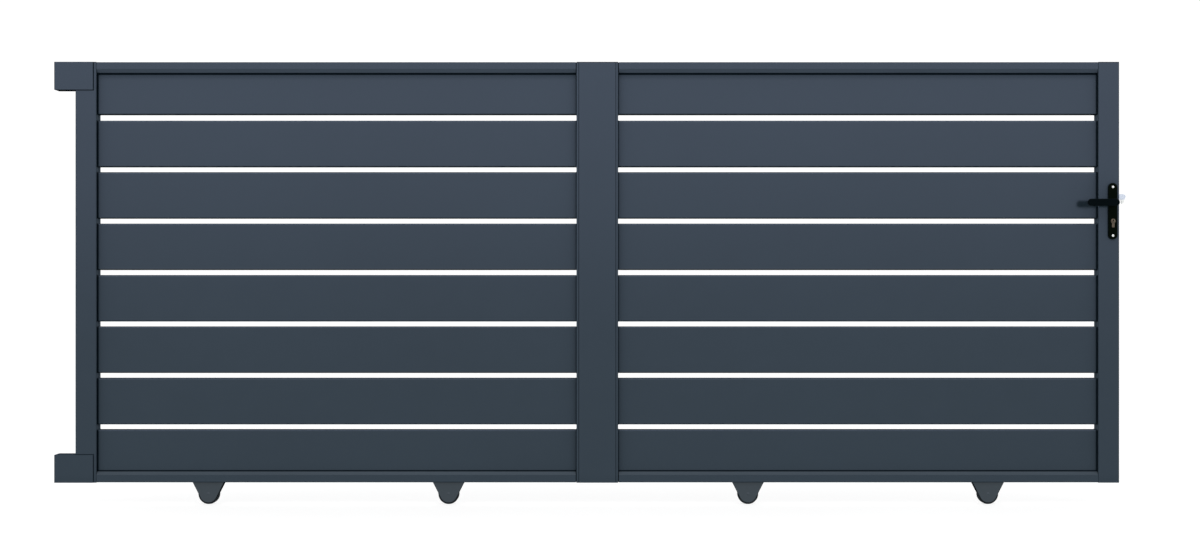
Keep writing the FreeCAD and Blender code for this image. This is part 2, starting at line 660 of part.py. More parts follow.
# -------------------------------------------------------------------- output
doc.recompute()
bad = []
for obj in doc.Objects:
    if "Invalid" in obj.State or "Error" in obj.State:
        bad.append("%s %s" % (obj.Name, obj.State))
for label, obj in PARTS:
    if obj.Shape.isNull() or not obj.Shape.isValid():
        bad.append(label + " shape")
    elif not obj.Shape.Solids:
        bad.append(label + " no solid")
if bad:
    raise RuntimeError("failed: " + ", ".join(bad))

os.makedirs("parts", exist_ok=True)
wanted = set(label + ".step" for label, obj in PARTS)
for name in os.listdir("parts"):
    if name.endswith(".step") and name not in wanted:
        os.remove(os.path.join("parts", name))
total = 0.0
for label, obj in PARTS:
    obj.Shape.exportStep("parts/%s.step" % label)
    total += obj.Shape.Volume
    bb = obj.Shape.BoundBox
    print("%-22s solids %2d  vol %10.1f cm3  x %8.1f %8.1f  y %6.1f %6.1f  z %7.1f %7.1f"
          % (label, len(obj.Shape.Solids), obj.Shape.Volume / 1000.0,
             bb.XMin, bb.XMax, bb.YMin, bb.YMax, bb.ZMin, bb.ZMax))
print("nodes %d, volume %.4f m3" % (len(PARTS), total / 1e9))
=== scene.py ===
import json
import math

import bmesh
import bpy
from mathutils import Matrix, Vector


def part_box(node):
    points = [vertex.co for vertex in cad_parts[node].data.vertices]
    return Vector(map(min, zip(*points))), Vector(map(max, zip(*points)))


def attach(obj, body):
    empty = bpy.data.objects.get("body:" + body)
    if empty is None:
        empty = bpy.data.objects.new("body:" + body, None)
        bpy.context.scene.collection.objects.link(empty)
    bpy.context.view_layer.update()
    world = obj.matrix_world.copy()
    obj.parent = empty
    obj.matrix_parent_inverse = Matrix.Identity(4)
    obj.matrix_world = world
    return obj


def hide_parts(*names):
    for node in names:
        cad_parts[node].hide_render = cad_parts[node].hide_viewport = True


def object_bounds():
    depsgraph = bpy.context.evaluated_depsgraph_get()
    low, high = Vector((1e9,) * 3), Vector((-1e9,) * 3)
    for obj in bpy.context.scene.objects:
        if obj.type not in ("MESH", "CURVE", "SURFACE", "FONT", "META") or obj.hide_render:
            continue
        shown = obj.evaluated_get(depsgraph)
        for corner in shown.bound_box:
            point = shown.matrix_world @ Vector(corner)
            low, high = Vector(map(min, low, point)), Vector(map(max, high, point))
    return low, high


# Sliding driveway gate leaf: looks.
# Metres.  X along the leaf (+X leading end), -Y outer face, Z up.

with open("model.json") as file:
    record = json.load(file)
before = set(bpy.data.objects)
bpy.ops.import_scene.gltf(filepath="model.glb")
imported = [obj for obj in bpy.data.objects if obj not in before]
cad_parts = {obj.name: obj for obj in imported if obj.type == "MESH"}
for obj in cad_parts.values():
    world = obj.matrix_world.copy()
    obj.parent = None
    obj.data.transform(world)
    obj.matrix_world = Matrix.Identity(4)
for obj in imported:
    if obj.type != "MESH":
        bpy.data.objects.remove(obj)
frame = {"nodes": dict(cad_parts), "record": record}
cad_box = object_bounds()
nodes = frame["nodes"]
scene = bpy.context.scene

# ------------------------------------------------------------ picture settings
scene.view_settings.view_transform = "Standard"
scene.view_settings.look = "None"
scene.view_settings.exposure = 0.0
scene.view_settings.gamma = 1.0


# ------------------------------------------------------------------- materials
def new_material(name):
    m = bpy.data.materials.new(name)
    m.use_nodes = True
    nt = m.node_tree
    for n in list(nt.nodes):
        nt.nodes.remove(n)
    out = nt.nodes.new("ShaderNodeOutputMaterial")
    bsdf = nt.nodes.new("ShaderNodeBsdfPrincipled")
    nt.links.new(bsdf.outputs["BSDF"], out.inputs["Surface"])
    co = nt.nodes.new("ShaderNodeTexCoord")
    return m, nt, bsdf, co.outputs["Object"]


def stretched(nt, vector, scale, offset=(0.0, 0.0, 0.0)):
    mp = nt.nodes.new("ShaderNodeMapping")
    mp.inputs["Scale"].default_value = scale
    mp.inputs["Location"].default_value = offset
    nt.links.new(vector, mp.inputs["Vector"])
    return mp.outputs["Vector"]


def noise(nt, vector, scale, detail=2.0, rough=0.5):
    n = nt.nodes.new("ShaderNodeTexNoise")
    n.inputs["Scale"].default_value = scale
    n.inputs["Detail"].default_value = detail
    n.inputs["Roughness"].default_value = rough
    nt.links.new(vector, n.inputs["Vector"])
    return n.outputs["Fac"]


def spread(nt, value, low, high, src=(0.25, 0.75)):
    r = nt.nodes.new("ShaderNodeMapRange")
    r.inputs["From Min"].default_value = src[0]
    r.inputs["From Max"].default_value = src[1]
    r.inputs["To Min"].default_value = low
    r.inputs["To Max"].default_value = high
    nt.links.new(value, r.inputs["Value"])
    return r.outputs["Result"]


def two_tone(nt, fac, a, b):
    m = nt.nodes.new("ShaderNodeMix")
    m.data_type = "RGBA"
    m.inputs["A"].default_value = (*a, 1.0)
    m.inputs["B"].default_value = (*b, 1.0)
    for s in m.inputs:
        if s.name == "A" and s.type == "RGBA":
            s.default_value = (*a, 1.0)
        if s.name == "B" and s.type == "RGBA":
            s.default_value = (*b, 1.0)
    nt.links.new(fac, m.inputs["Factor"])
    return next(o for o in m.outputs if o.type == "RGBA")


def math_node(nt, op, a, b):
    n = nt.nodes.new("ShaderNodeMath")
    n.operation = op
    for i, v in enumerate((a, b)):
        if isinstance(v, (int, float)):
            n.inputs[i].default_value = v
        else:
            nt.links.new(v, n.inputs[i])
    return n.outputs[0]


def bump(nt, bsdf, height, strength, distance):
    b = nt.nodes.new("ShaderNodeBump")
    b.inputs["Strength"].default_value = strength
    b.inputs["Distance"].default_value = distance
    nt.links.new(height, b.inputs["Height"])
    nt.links.new(b.outputs["Normal"], bsdf.inputs["Normal"])


def tone(c, k):
    return tuple(v * k for v in c)


def paint(name, base, level, tint, rough, offset, drift_amount=0.10, ior=1.5,
          corner_shade=False, rail_shade_heights=None):
    """Powder coat: slight drift of tone, fine speckle, orange peel, soft gloss.
    With the corner-shade option, an occlusion mask dims the gloss towards corners: painted
    shade. With the rail-shade heights it dims the gloss further up under the top rail, from
    one height to another: painted shade under the rail."""
    m, nt, bsdf, co = new_material(name)
    co = stretched(nt, co, (1.0, 1.0, 1.0), offset)
    drift = noise(nt, co, 2.3, 3.0)
    speck = noise(nt, co, 1500.0, 1.0)
    mixed = math_node(nt, "ADD", math_node(nt, "MULTIPLY", drift, 0.55),
                      math_node(nt, "MULTIPLY", speck, 0.45))
    col = two_tone(nt, spread(nt, mixed, 0.0, 1.0, (0.3, 0.7)),
                   tone(base, 1.0 - drift_amount), tone(base, 1.0 + drift_amount))
    nt.links.new(col, bsdf.inputs["Base Color"])
    cloud = noise(nt, co, 14.0, 4.0, 0.55)
    nt.links.new(spread(nt, cloud, rough - 0.02, rough + 0.02),
                 bsdf.inputs["Roughness"])
    bsdf.inputs["IOR"].default_value = ior
    bsdf.inputs["Specular IOR Level"].default_value = level
    bsdf.inputs["Specular Tint"].default_value = (*tint, 1.0)
    # painted shade: ambient occlusion dims the gloss in corners
    if corner_shade:
        nook = nt.nodes.new("ShaderNodeAmbientOcclusion")
        nook.samples = 8
        nook.inputs["Distance"].default_value = 0.12
        gloss = math_node(nt, "MULTIPLY", nook.outputs["AO"], level)
        # painted shade under the top rail: the gloss dims with height
        if rail_shade_heights:
            spot = nt.nodes.new("ShaderNodeNewGeometry")
            split = nt.nodes.new("ShaderNodeSeparateXYZ")
            nt.links.new(spot.outputs["Position"], split.inputs[0])
            gloss = math_node(nt, "MULTIPLY", gloss,
                              spread(nt, split.outputs["Z"], 1.0, 0.60, rail_shade_heights))
        nt.links.new(gloss, bsdf.inputs["Specular IOR Level"])
    peel = noise(nt, co, 520.0, 2.0, 0.6)
    bump(nt, bsdf, peel, 0.05, 0.0003)
    return m


GLOSS = (0.5415, 0.655, 0.896)
BODY = (0.0097, 0.0170, 0.0237)
DULL = (1.0, 1.0, 1.0)
# broad outer and inner faces: dark body colour under a bluish gloss; the frame and slat gloss
# dims in corners, and the slat gloss under the top rail, as painted shade
M_FRAME = paint("frame_coat_corner_shade", BODY, 0.5, GLOSS, 0.17, (0.0, 0.0, 0.0), ior=1.878,
                corner_shade=True)
M_RAIL = paint("rail_coat", BODY, 0.5, GLOSS, 0.17, (1.3, 0.2, 0.9), ior=1.878)
M_SLAT = paint("slat_coat_with_shade", BODY, 0.5, GLOSS, 0.17, (3.7, 1.1, 0.4), ior=1.878,
               corner_shade=True, rail_shade_heights=(1.449, 1.469))
# bevels of the rails: matte and several times lighter than the body colour, painted light
# standing in for the gloss
M_BEVEL_LIT = paint("rail_bevel_lit_coat", (0.0622, 0.0797, 0.1089), 0.0, DULL, 0.60, (0.7, 2.2, 1.6))
M_SILL_LIT = paint("rail_sill_lit_coat", (0.0571, 0.0727, 0.0913), 0.0, DULL, 0.60, (2.1, 0.9, 3.3))
# narrow edges and ends of the same profiles: dull and darker than the glossy faces, painted
# shade
M_EDGE_SHADE = paint("edge_shade_coat", (0.0270, 0.0380, 0.0520), 0.0, DULL, 0.60, (1.9, 4.1, 2.4))
# undersides: greyer, near-black and dull, painted shade where they are hardly lit
M_UNDER_SHADE = paint("underside_shade_coat", (0.0060, 0.0100, 0.0150), 0.0, DULL, 0.65,
                (2.9, 3.1, 0.4))
# side walls of the uprights: matte and several times lighter than the body colour, painted
# light
M_WALL_LIT = paint("side_wall_lit_coat", (0.0600, 0.0780, 0.1020), 0.0, DULL, 0.60, (4.4, 1.7, 3.9))
# channels, grooves, joints and hidden inner faces: near-black, painted shade
M_DEEP_SHADE = paint("channel_shade_coat", (0.0030, 0.0052, 0.0078), 0.0, DULL, 0.70,
                 (5.3, 0.7, 1.2))
M_CARRIER = paint("carrier_coat", (0.0168, 0.0240, 0.0328), 1.0, (0.70, 0.78, 0.90), 0.30,
                  (7.1, 2.3, 5.2))
# rims of the carrier plates: darker and dull, painted shade
M_CARRIER_RIM_SHADE = paint("carrier_rim_shade_coat", (0.0085, 0.0105, 0.0115), 0.0, DULL, 0.55,
                       (6.1, 2.3, 1.2))


def trim_material():
    """Black moulded plastic and rubber: matt, faint flow marks."""
    m, nt, bsdf, co = new_material("black_trim_moulded")
    flow = noise(nt, stretched(nt, co, (30.0, 30.0, 9.0)), 3.0, 3.0)
    nt.links.new(two_tone(nt, spread(nt, flow, 0.0, 1.0), (0.0013, 0.0040, 0.0072),
                          (0.0022, 0.0058, 0.0098)), bsdf.inputs["Base Color"])
    grain = noise(nt, co, 1800.0, 2.0)
    nt.links.new(spread(nt, grain, 0.60, 0.75), bsdf.inputs["Roughness"])
    bsdf.inputs["Specular IOR Level"].default_value = 0.02
    bump(nt, bsdf, grain, 0.15, 0.0002)
    return m


def handle_material(name, low, high, tint):
    """Satin black coat on the die-cast handles."""
    m, nt, bsdf, co = new_material(name)
    speck = noise(nt, co, 1700.0, 2.0)
    nt.links.new(two_tone(nt, spread(nt, speck, 0.0, 1.0), low, high),
                 bsdf.inputs["Base Color"])
    nt.links.new(spread(nt, noise(nt, co, 60.0, 3.0), 0.28, 0.38),
                 bsdf.inputs["Roughness"])
    bsdf.inputs["IOR"].default_value = 1.12
    bsdf.inputs["Specular Tint"].default_value = (*tint, 1.0)
    bump(nt, bsdf, speck, 0.12, 0.0002)
    return m


def steel_material(name, low, high, rough, metal=1.0):
    """Zinc-plated steel: pale, finely brushed."""
    m, nt, bsdf, co = new_material(name)
    brush = noise(nt, stretched(nt, co, (90.0, 2600.0, 2600.0)), 1.0, 3.0, 0.6)
    cloud = noise(nt, co, 160.0, 3.0)
    nt.links.new(two_tone(nt, spread(nt, cloud, 0.0, 1.0), low, high),
                 bsdf.inputs["Base Color"])
    nt.links.new(spread(nt, brush, rough - 0.08, rough + 0.08),
                 bsdf.inputs["Roughness"])
    bsdf.inputs["Metallic"].default_value = metal
    bump(nt, bsdf, brush, 0.10, 0.0001)
    return m


def hook_material():
    """Plated hook: pale bluish; its lower part, the beak, turns near-white and hardly
    metallic, a painted highlight.
    """
    m, nt, bsdf, co = new_material("hook_steel_painted_highlight")
    brush = noise(nt, stretched(nt, co, (90.0, 2600.0, 2600.0)), 1.0, 3.0, 0.6)
    cloud = noise(nt, co, 160.0, 3.0)
    sep = nt.nodes.new("ShaderNodeSeparateXYZ")
    nt.links.new(co, sep.inputs["Vector"])
    beak_highlight = spread(nt, math_node(nt, "ADD", sep.outputs["Z"],
                               math_node(nt, "MULTIPLY", cloud, 0.004)),
                 1.0, 0.0, (1.0195, 1.0225))
    plated = two_tone(nt, spread(nt, cloud, 0.0, 1.0), (0.69, 0.74, 0.88),
                      (0.79, 0.84, 0.98))
    mix = nt.nodes.new("ShaderNodeMix")
    mix.data_type = "RGBA"
    for sock in mix.inputs:
        if sock.name == "B" and sock.type == "RGBA":
            sock.default_value = (0.97, 0.97, 0.97, 1.0)
        if sock.name == "A" and sock.type == "RGBA":
            nt.links.new(plated, sock)
    nt.links.new(beak_highlight, mix.inputs["Factor"])
    nt.links.new(next(o for o in mix.outputs if o.type == "RGBA"),
                 bsdf.inputs["Base Color"])
    nt.links.new(spread(nt, brush, 0.22, 0.36), bsdf.inputs["Roughness"])
    nt.links.new(spread(nt, beak_highlight, 1.0, 0.2, (0.0, 1.0)), bsdf.inputs["Metallic"])
    bump(nt, bsdf, brush, 0.08, 0.0001)
    return m


def brass_material():
    """Dull nickel over brass, turned finish."""
    m, nt, bsdf, co = new_material("lock_dull_brass")
    brush = noise(nt, stretched(nt, co, (2200.0, 300.0, 400.0)), 1.0, 3.0, 0.6)
    cloud = noise(nt, co, 220.0, 3.0)
    nt.links.new(two_tone(nt, spread(nt, cloud, 0.0, 1.0), (0.105, 0.082, 0.062),
                          (0.175, 0.140, 0.110)), bsdf.inputs["Base Color"])
    nt.links.new(spread(nt, brush, 0.26, 0.44), bsdf.inputs["Roughness"])
    bsdf.inputs["Metallic"].default_value = 1.0
    bump(nt, bsdf, brush, 0.10, 0.0001)
    return m


def wheel_material():
    """Dark coated steel, dull, with faint turning marks."""
    m, nt, bsdf, co = new_material("wheel_dark_steel")
    cloud = noise(nt, co, 70.0, 4.0)
    fine = noise(nt, co, 900.0, 2.0)
    nt.links.new(two_tone(nt, spread(nt, cloud, 0.0, 1.0), (0.013, 0.017, 0.021),
                          (0.028, 0.034, 0.040)), bsdf.inputs["Base Color"])
    nt.links.new(spread(nt, fine, 0.42, 0.58), bsdf.inputs["Roughness"])
    bsdf.inputs["Specular IOR Level"].default_value = 0.05
    bump(nt, bsdf, fine, 0.12, 0.0002)
    return m


def dark_hole_material():
    """Inside of recesses and the keyway: near-black and dull, painted shade."""
    m, nt, bsdf, co = new_material("recess_painted_shade")
    cloud = noise(nt, co, 900.0, 2.0)
    nt.links.new(two_tone(nt, spread(nt, cloud, 0.0, 1.0), (0.0030, 0.0028, 0.0026),
                          (0.0075, 0.0068, 0.0060)), bsdf.inputs["Base Color"])
    nt.links.new(spread(nt, cloud, 0.45, 0.65), bsdf.inputs["Roughness"])
    bsdf.inputs["Specular IOR Level"].default_value = 0.02
    return m


M_TRIM = trim_material()
M_HANDLE = handle_material("handle_black_coat", (0.0004, 0.0010, 0.0004),
                           (0.0008, 0.0018, 0.0008), (0.70, 1.0, 0.75))
M_LEVER = handle_material("lever_black_coat", (0.0004, 0.0011, 0.0018),
                          (0.0008, 0.0019, 0.0036), (0.70, 1.0, 1.0))
M_STEEL = steel_material("zinc_plated_steel", (0.56, 0.60, 0.67), (0.68, 0.72, 0.79), 0.32)
# screw heads: near-white and barely metallic, a painted highlight
M_SCREW_HIGHLIGHT = steel_material("screw_steel_painted_highlight", (0.94, 0.95, 0.96), (0.99, 0.99, 0.99), 0.28,
                          0.15)
M_HOOK = hook_material()
M_BRASS = brass_material()
M_WHEEL = wheel_material()
M_RECESS_SHADE = dark_hole_material()

SLOT_MATERIAL = {
    "frame_paint": M_FRAME, "slat_paint": M_SLAT, "black_trim": M_TRIM,
    "black_handle": M_HANDLE, "bright_steel": M_STEEL, "dark_steel": M_WHEEL,
    "lock_brass": M_BRASS,
}


def dress(obj, material):
    obj.data.materials.clear()
    obj.data.materials.append(material)


slot_of = {}
for sub in frame["record"]["subparts"]:
    slot_of[sub["node"]] = sub["material_slot"]
for name, obj in nodes.items():
    dress(obj, SLOT_MATERIAL[slot_of[name]])


def dress_faces(obj, materials, pick):
    """Several finishes on one piece: pick(normal, centre) gives the index."""
    obj.data.materials.clear()
    for m in materials:
        obj.data.materials.append(m)
    for p in obj.data.polygons:
        p.material_index = pick(p.normal, p.center)


def broad(n, least=0.88):
    return abs(n.y) > least


dress(nodes["hook_bolt"], M_HOOK)
for lever in ("front_lever", "back_lever"):
    dress(nodes[lever], M_LEVER)


def slat_face(n, c):
    if broad(n):
        return 0
    # undersides near-black, tops and ends dull and darker: painted shade
    if n.z < -0.2:
        return 2
    return 0 if abs(n.x) < 0.5 and n.z < 0.2 else 1


for side in ("left", "right"):
    for k in range(1, 9):
        dress_faces(nodes["slat_%s_%d" % (side, k)], [M_SLAT, M_EDGE_SHADE, M_UNDER_SHADE], slat_face)
    for rail in ("top_rail_", "bottom_rail_"):
        # ends and inner faces near-black, tops and undersides dull and darker: painted shade;
        # outer bevels matte and lighter: painted light
        def rail_face(n, c, top=(rail == "top_rail_")):
            outer = abs(c.y) > 0.0172
            if abs(n.x) > 0.9:
                return 1
            if top:
                if n.z > 0.3:
                    return 2
                if broad(n, 0.45) and outer:
                    return 3 if n.z < -0.3 else 0
                return 1
            if n.z < -0.25:
                return 2
            if broad(n, 0.45):
                if outer and n.z > 0.3:
                    return 4
                return 0 if outer else 1
            return 0 if n.z > 0.6 and abs(c.y) > 0.0165 and c.z > 0.030 else 1
        dress_faces(nodes[rail + side], [M_RAIL, M_DEEP_SHADE, M_EDGE_SHADE, M_BEVEL_LIT, M_SILL_LIT],
                    rail_face)

POST_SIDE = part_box("center_post")[1].x
LEAF_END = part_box("front_stile")[1].x
LEAF_FACE = -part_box("rear_stile")[0].y


def upright_face(n, c):
    # grooves of the post: anything set in from the broad faces, near-black as painted shade
    if abs(n.y) > 0.9 and abs(c.y) < LEAF_FACE - 0.0006:
        return 2
    if broad(n):
        return 0
    # outer ends of the leaf
    if abs(n.x) > 0.98 and abs(c.x) > LEAF_END - 0.0005:
        return 0
    # side walls: near-black beside the post, painted shade; lighter matte further out,
    # painted light
    if abs(n.x) > 0.9:
        return 2 if abs(c.x) < POST_SIDE - 0.004 else 3
    # eased corners: dark where they end the leaf
    return 2 if abs(c.x) > LEAF_END - 0.004 else 1


def stop_face(n, c):
    if broad(n, 0.94) or n.x < -0.98:
        return 0
    # undersides and left-facing sides near-black, other edges dull and darker: painted shade
    return 2 if n.z < -0.5 or n.x < -0.1 else 1


for name in ("rear_stile", "center_post", "front_stile"):
    dress_faces(nodes[name], [M_FRAME, M_EDGE_SHADE, M_DEEP_SHADE, M_WALL_LIT], upright_face)
for name in ("upper_stop", "lower_stop"):
    dress_faces(nodes[name], [M_FRAME, M_EDGE_SHADE, M_DEEP_SHADE], stop_face)


# ---------------------------------------------------------------- mesh helpers
def make(name, bm, material, body, smooth_angle=35.0):
    bmesh.ops.recalc_face_normals(bm, faces=bm.faces)
    me = bpy.data.meshes.new(name)
    bm.to_mesh(me)
    bm.free()
    obj = bpy.data.objects.new(name, me)
    scene.collection.objects.link(obj)
    me.materials.append(material)
    for p in me.polygons:
        p.use_smooth = True
    me.set_sharp_from_angle(angle=math.radians(smooth_angle))
    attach(obj, body)
    return obj


def lathe(bm, profile, steps, matrix):
    """Closed solid of revolution about local Z; profile runs (radius, z)."""
    rings = []
    for r, z in profile:
        if r < 1e-9:
            rings.append([bm.verts.new(matrix @ Vector((0, 0, z)))])
        else:
            rings.append([bm.verts.new(matrix @ Vector((
                r * math.cos(2 * math.pi * i / steps),
                r * math.sin(2 * math.pi * i / steps), z))) for i in range(steps)])
    for a, b in zip(rings, rings[1:]):
        for i in range(steps):
            j = (i + 1) % steps
            if len(a) == 1 and len(b) == 1:
                continue
            if len(a) == 1:
                bm.faces.new((a[0], b[i], b[j]))
            elif len(b) == 1:
                bm.faces.new((a[i], a[j], b[0]))
            else:
                bm.faces.new((a[i], a[j], b[j], b[i]))


def facing(at, axis):
    """Matrix whose local Z points along axis, at the given point."""
    z = Vector(axis).normalized()
    return Matrix.Translation(at) @ z.to_track_quat("Z", "Y").to_matrix().to_4x4()


def block(bm, lo, hi):
    vs = [bm.verts.new((x, y, z)) for x in (lo[0], hi[0]) for y in (lo[1], hi[1])
          for z in (lo[2], hi[2])]
    for f in ((0, 1, 3, 2), (4, 6, 7, 5), (0, 4, 5, 1), (2, 3, 7, 6), (0, 2, 6, 4),
              (1, 5, 7, 3)):
        bm.faces.new([vs[i] for i in f])


def prism(bm, outline, z0, z1, matrix):
    """Closed prism of a 2-D outline between local z0 and z1."""
    low = [bm.verts.new(matrix @ Vector((x, y, z0))) for x, y in outline]
    high = [bm.verts.new(matrix @ Vector((x, y, z1))) for x, y in outline]
    bm.faces.new(list(reversed(low)))
    bm.faces.new(high)
    n = len(outline)
    for i in range(n):
        j = (i + 1) % n
        bm.faces.new((low[i], low[j], high[j], high[i]))


# ------------------------------------------------- heads with a sunk recess
def recessed(bm, at, axis, recess, floor_scale, deep, rings, turn=0.0, n=48):
    """Round head: recess is an outline seen from its middle, sunk by deep from
    the first ring's height; rings run (radius, height) from the crown outwards."""
    m = facing(at, axis) @ Matrix.Rotation(turn, 4, "Z")
    h0 = rings[0][1]
    top = [bm.verts.new(m @ Vector((x, y, h0))) for x, y in recess]
    low = [bm.verts.new(m @ Vector((x * floor_scale, y * floor_scale, h0 - deep)))
           for x, y in recess]
    k = len(recess)
    inside = []
    for i in range(k):
        j = (i + 1) % k
        inside.append(bm.faces.new((top[i], top[j], low[j], low[i])))
    inside.append(bm.faces.new(low))
    for f in inside:
        f.material_index = 1
    loops = []
    for r, z in rings:
        loops.append([bm.verts.new(m @ Vector((
            r * math.cos(2 * math.pi * i / n), r * math.sin(2 * math.pi * i / n), z)))
            for i in range(n)])
    for a, b in zip(loops, loops[1:]):
        for i in range(n):
            j = (i + 1) % n
            bm.faces.new((a[i], a[j], b[j], b[i]))
    bm.faces.new(list(reversed(loops[-1])))
    # join the recess outline to the first ring, in order of angle
    inner = loops[0]
    ang = [math.atan2(y, x) % (2 * math.pi) for x, y in recess]
    order = sorted(range(k), key=lambda i: ang[i])
    merged = sorted([(ang[i], 0, i) for i in order]
                    + [(2 * math.pi * i / n, 1, i) for i in range(n)])
    ci, ri = order[-1], n - 1
    for a, kind, idx in merged:
        if kind == 0:
            bm.faces.new((top[ci], inner[ri], top[idx]))
            ci = idx
        else:
            bm.faces.new((top[ci], inner[ri], inner[idx]))
            ri = idx


def cross_outline(reach, arm):
    pts = []
    for q in range(4):
        a = math.pi / 2 * q
        c, s_ = math.cos(a), math.sin(a)
        for x, y in ((reach, -arm), (reach, arm), (arm, arm)):
            pts.append((x * c - y * s_, x * s_ + y * c))
    return pts


def cross_head(bm, at, axis, rad, proud, turn=0.0):
    """Raised round head with a cross recess sunk in its crown."""
    recessed(bm, at, axis, cross_outline(rad * 0.40, rad * 0.09), 0.8, proud * 0.6,
             [(rad * 0.70, proud), (rad * 0.84, proud * 0.86), (rad * 0.95, proud * 0.55),
              (rad, 0.0)], turn)


def with_recess(obj, material):
    obj.data.materials.append(material)
    return obj


lo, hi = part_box("front_handle_plate")
HX = (lo.x + hi.x) / 2
PLATE_F = lo.y
PLATE_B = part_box("back_handle_plate")[1].y
SCREW_Z = (1.0634, 0.8886)
bm = bmesh.new()
for i, z in enumerate(SCREW_Z):
    cross_head(bm, (HX, PLATE_F, z), (0, -1, 0), 0.0044, 0.0016, 0.35 + 0.5 * i)
    cross_head(bm, (HX, PLATE_B, z), (0, 1, 0), 0.0044, 0.0016, 0.75 - 0.4 * i)
heads = make("handle_screw_heads", bm, M_SCREW_HIGHLIGHT, "leaf")
with_recess(heads, M_RECESS_SHADE)
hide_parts("handle_screws")

# ------------------------------------------------ lock cylinder: key plugs
cyl_lo, cyl_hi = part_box("lock_cylinder")
CYL_R = (cyl_hi.x - cyl_lo.x) / 2
CYL_Z = cyl_hi.z - CYL_R
KEYWAY = [(0.0015, -0.0014), (0.0015, 0.0008), (0.0020, 0.0016), (0.0020, 0.0046),
          (0.0013, 0.0056), (-0.0013, 0.0056), (-0.0020, 0.0046), (-0.0020, 0.0022),
          (-0.0015, 0.0014), (-0.0015, -0.0014)]
bm = bmesh.new()
for y, axis in ((cyl_lo.y, -1), (cyl_hi.y, 1)):
    m = facing((HX, y, CYL_Z), (0, axis, 0))
    # the keyway's long way points up whichever way the plug faces
    up = m.to_3x3().inverted() @ Vector((0, 0, 1))
    turn = math.atan2(up.y, up.x) - math.pi / 2
    recessed(bm, (HX, y, CYL_Z), (0, axis, 0), KEYWAY, 0.90, 0.0010,
             [(0.0062, 0.0012), (0.0066, 0.0010), (0.0068, 0.0)], turn)
plugs = make("key_plugs", bm, M_BRASS, "leaf")
with_recess(plugs, M_RECESS_SHADE)

# ------------------------------------------------ collars round the lever necks
SPINDLE_Z = 1.006
bm = bmesh.new()
for y, axis in ((PLATE_F, -1), (PLATE_B, 1)):
    lathe(bm, [(0.0091, -0.0004), (0.0132, -0.0004), (0.0132, 0.0014), (0.0127, 0.0022),
               (0.0118, 0.0026), (0.0101, 0.0026), (0.0093, 0.0022), (0.0091, 0.0014),
               (0.0091, -0.0004)], 64, facing((HX, y, SPINDLE_Z), (0, axis, 0)))
bmesh.ops.remove_doubles(bm, verts=bm.verts, dist=1e-6)
make("lever_collars", bm, M_HANDLE, "leaf")

# ------------------------------------------------ face plate screws
bm = bmesh.new()
for i, z in enumerate((0.8890, 1.0800)):
    recessed(bm, (LEAF_END, 0.0, z), (1, 0, 0), cross_outline(0.0018, 0.0005), 0.8, 0.0005,
             [(0.0026, 0.0006), (0.0033, 0.0005), (0.0037, 0.0)], 0.4 + i)
screws = make("faceplate_screws", bm, M_STEEL, "leaf")
with_recess(screws, M_RECESS_SHADE)


# ------------------------------------------------ wheel carriers
def inset(points, d):
    """Convex outline moved in by d."""
    out = []
    k = len(points)
    for i in range(k):
        p0, p1, p2 = (Vector(points[i - 1]), Vector(points[i]), Vector(points[(i + 1) % k]))
        e1, e2 = (p1 - p0).normalized(), (p2 - p1).normalized()
        n1, n2 = Vector((-e1.y, e1.x)), Vector((-e2.y, e2.x))
        mid = (n1 + n2).normalized()
        out.append(tuple(p1 + mid * (d / max(mid.dot(n1), 0.2))))
    return out


W_LO, W_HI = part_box("wheel_1")
WHEEL_Z = (W_LO.z + W_HI.z) / 2
CAR_LO, CAR_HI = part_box("wheel_bracket_1")
CAR_HALF = (CAR_HI.x - CAR_LO.x) / 2
SIDE_OUT = CAR_HI.y
SIDE_IN = SIDE_OUT - 0.0030
WEB_LOW = CAR_HI.z - 0.0030


def carrier_outline():
    top, half = CAR_HI.z, CAR_HALF
    drop, nose = WHEEL_Z, WHEEL_Z - CAR_LO.z
    reach = math.hypot(half, top - drop)
    a = math.atan2(top - drop, half) - math.acos(nose / reach)
    pts = [(half, top), (-half, top)]
    steps = 28
    for i in range(steps + 1):
        t = math.pi - a + (math.pi + 2 * a) * i / steps
        pts.append((nose * math.cos(t), drop + nose * math.sin(t)))
    return pts


def plate(bm, x, outline, y_out, y_in, bevel):
    """Plate with its outer and inner edges eased; bevel faces take material 1, the darker rim
    colour that paints shade, and the inner face material 2, near-black painted shade.
    """
    sgn = 1 if y_in > y_out else -1
    levels = [(inset(outline, bevel), y_out, 0), (outline, y_out + sgn * bevel, 1),
              (outline, y_in - sgn * bevel * 0.5, 1),
              (inset(outline, bevel * 0.5), y_in, 1)]
    rows = [[bm.verts.new((x + u, y, v)) for u, v in pts] for pts, y, f in levels]
    for (a, b) in zip(range(3), range(1, 4)):
        k = len(outline)
        for i in range(k):
            j = (i + 1) % k
            f = bm.faces.new((rows[a][i], rows[a][j], rows[b][j], rows[b][i]))
            f.material_index = 1
    bm.faces.new(rows[0]).material_index = 0
    bm.faces.new(list(reversed(rows[3]))).material_index = 2


